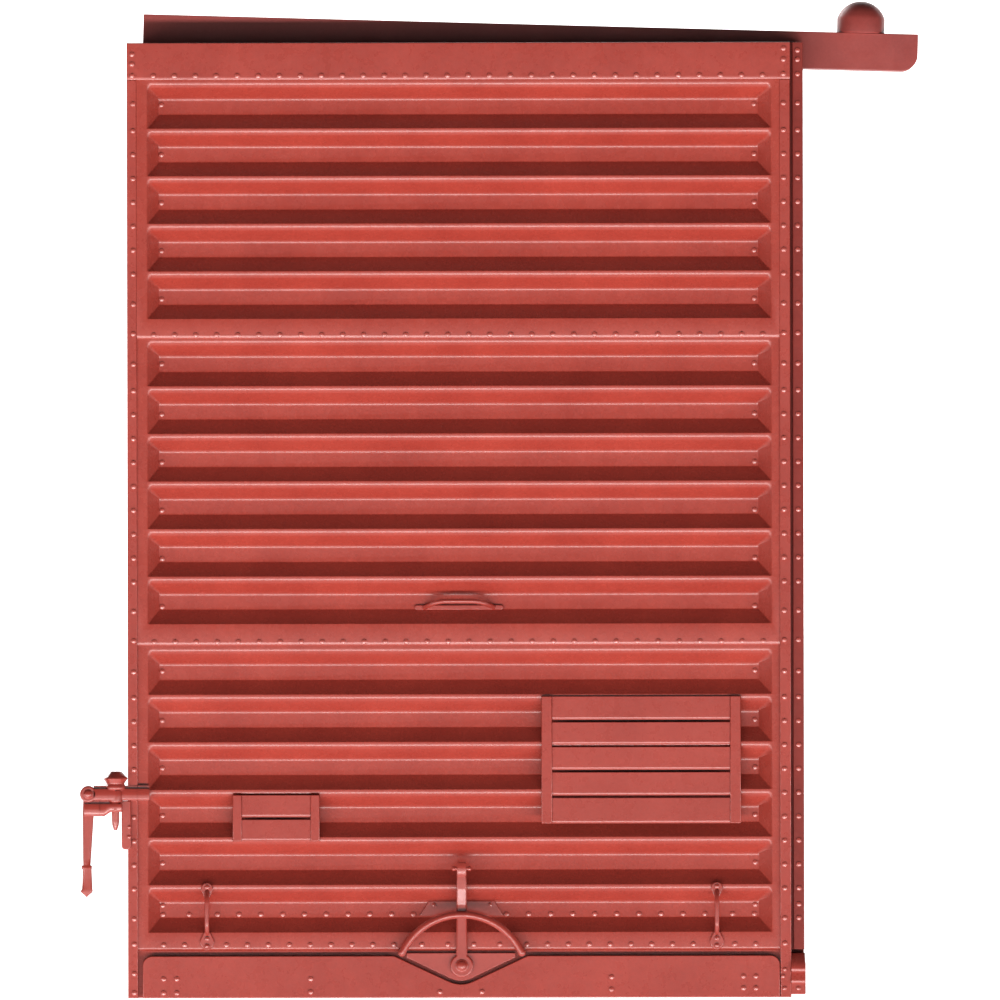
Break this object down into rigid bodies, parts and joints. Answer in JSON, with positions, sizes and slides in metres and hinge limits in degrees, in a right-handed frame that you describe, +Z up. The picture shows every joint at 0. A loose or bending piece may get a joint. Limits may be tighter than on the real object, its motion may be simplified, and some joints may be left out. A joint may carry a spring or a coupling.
{
  "type": "model box car sliding door",
  "caption": "Corrugated sliding door for a model box car, hung on a grooved guide bar, with a riveted frame, swinging opening lever, drop-pin latch, grab irons and card boards.",
  "frame": {"origin": "middle of the door's bottom edge, in the front plane of the lower pressed sheet", "axes": "+X to the door's right as seen from outside the car, +Y back through the door towards the car, +Z up"},
  "size_m": [0.0312, 0.0034, 0.0371],
  "materials": {
    "sheet_plastic": "satin oxide red",
    "frame_plastic": "satin oxide red",
    "hardware_plastic": "satin oxide red",
    "guide_plastic": "satin oxide red",
    "hardware_metal": "satin oxide red paint"
  },
  "bodies": {
    "guide": {"guide_bar": "guide_plastic", "locating_knob": "guide_plastic"},
    "lever": {"opening_lever": "hardware_metal", "lever_grip_pin": "hardware_metal"},
    "swinging_handle": {"latch_handle": "hardware_metal"},
    "lifting_pin": {"drop_pin": "hardware_metal"},
    "door": {"arc_guard": "hardware_plastic", "band_rivets": "hardware_plastic", "bottom_rail": "frame_plastic", "bottom_rail_rivets": "hardware_plastic", "bracket_rivets": "hardware_plastic", "card_board_battens": "hardware_plastic", "card_board_planks": "hardware_plastic", "corner_shoe": "frame_plastic", "edge_strip": "frame_plastic", "edge_strip_rivets": "hardware_plastic", "floor_rivets": "hardware_plastic", "grab_iron_bolts": "hardware_plastic", "guard_plate": "hardware_plastic", "guard_plate_rivets": "hardware_plastic", "hanger_rivets": "hardware_plastic", "hasp_strap": "hardware_plastic", "header_angle": "frame_plastic", "latch_bracket": "hardware_plastic", "latch_handle_pin": "hardware_metal", "left_grab_iron": "hardware_plastic", "left_hanger": "hardware_plastic", "left_stile": "frame_plastic", "left_stile_rivets": "hardware_plastic", "lever_plate": "hardware_plastic", "lower_sheet": "sheet_plastic", "middle_seam_rivets": "hardware_plastic", "middle_sheet": "sheet_plastic", "pivot_bolt": "hardware_metal", "pivot_nut": "hardware_metal", "pivot_washer": "hardware_metal", "placard_battens": "hardware_plastic", "placard_planks": "hardware_plastic", "pocket_end_rivets": "hardware_plastic", "pull_handle": "hardware_plastic", "right_grab_iron": "hardware_plastic", "right_hanger": "hardware_plastic", "right_stile": "frame_plastic", "right_stile_rivets": "hardware_plastic", "shoe_rivets": "hardware_plastic", "sill_angle": "frame_plastic", "top_rail": "frame_plastic", "top_seam_rivets": "hardware_plastic", "upper_seam_rivets": "hardware_plastic", "upper_sheet": "sheet_plastic"}
  },
  "joints": [
    {"name": "door_slide", "type": "slide", "parent": "guide", "child": "door", "axis": [0.9996, 0, -0.0279], "range_m": [0, 0.0058]},
    {"name": "lever_swing", "type": "hinge", "parent": "door", "child": "lever", "pos_m": [-0.00017, -0.0002, 0.00119], "axis": [0, 1, 0], "range_deg": [-60, 60]},
    {"name": "latch_handle_swing", "type": "hinge", "parent": "door", "child": "swinging_handle", "pos_m": [-0.01402, -0.00016, 0.00759], "axis": [0, 1, 0], "range_deg": [-15, 100]},
    {"name": "drop_pin_lift", "type": "slide", "parent": "door", "child": "lifting_pin", "axis": [0, 0, 1], "range_m": [0, 0.001]}
  ]
}
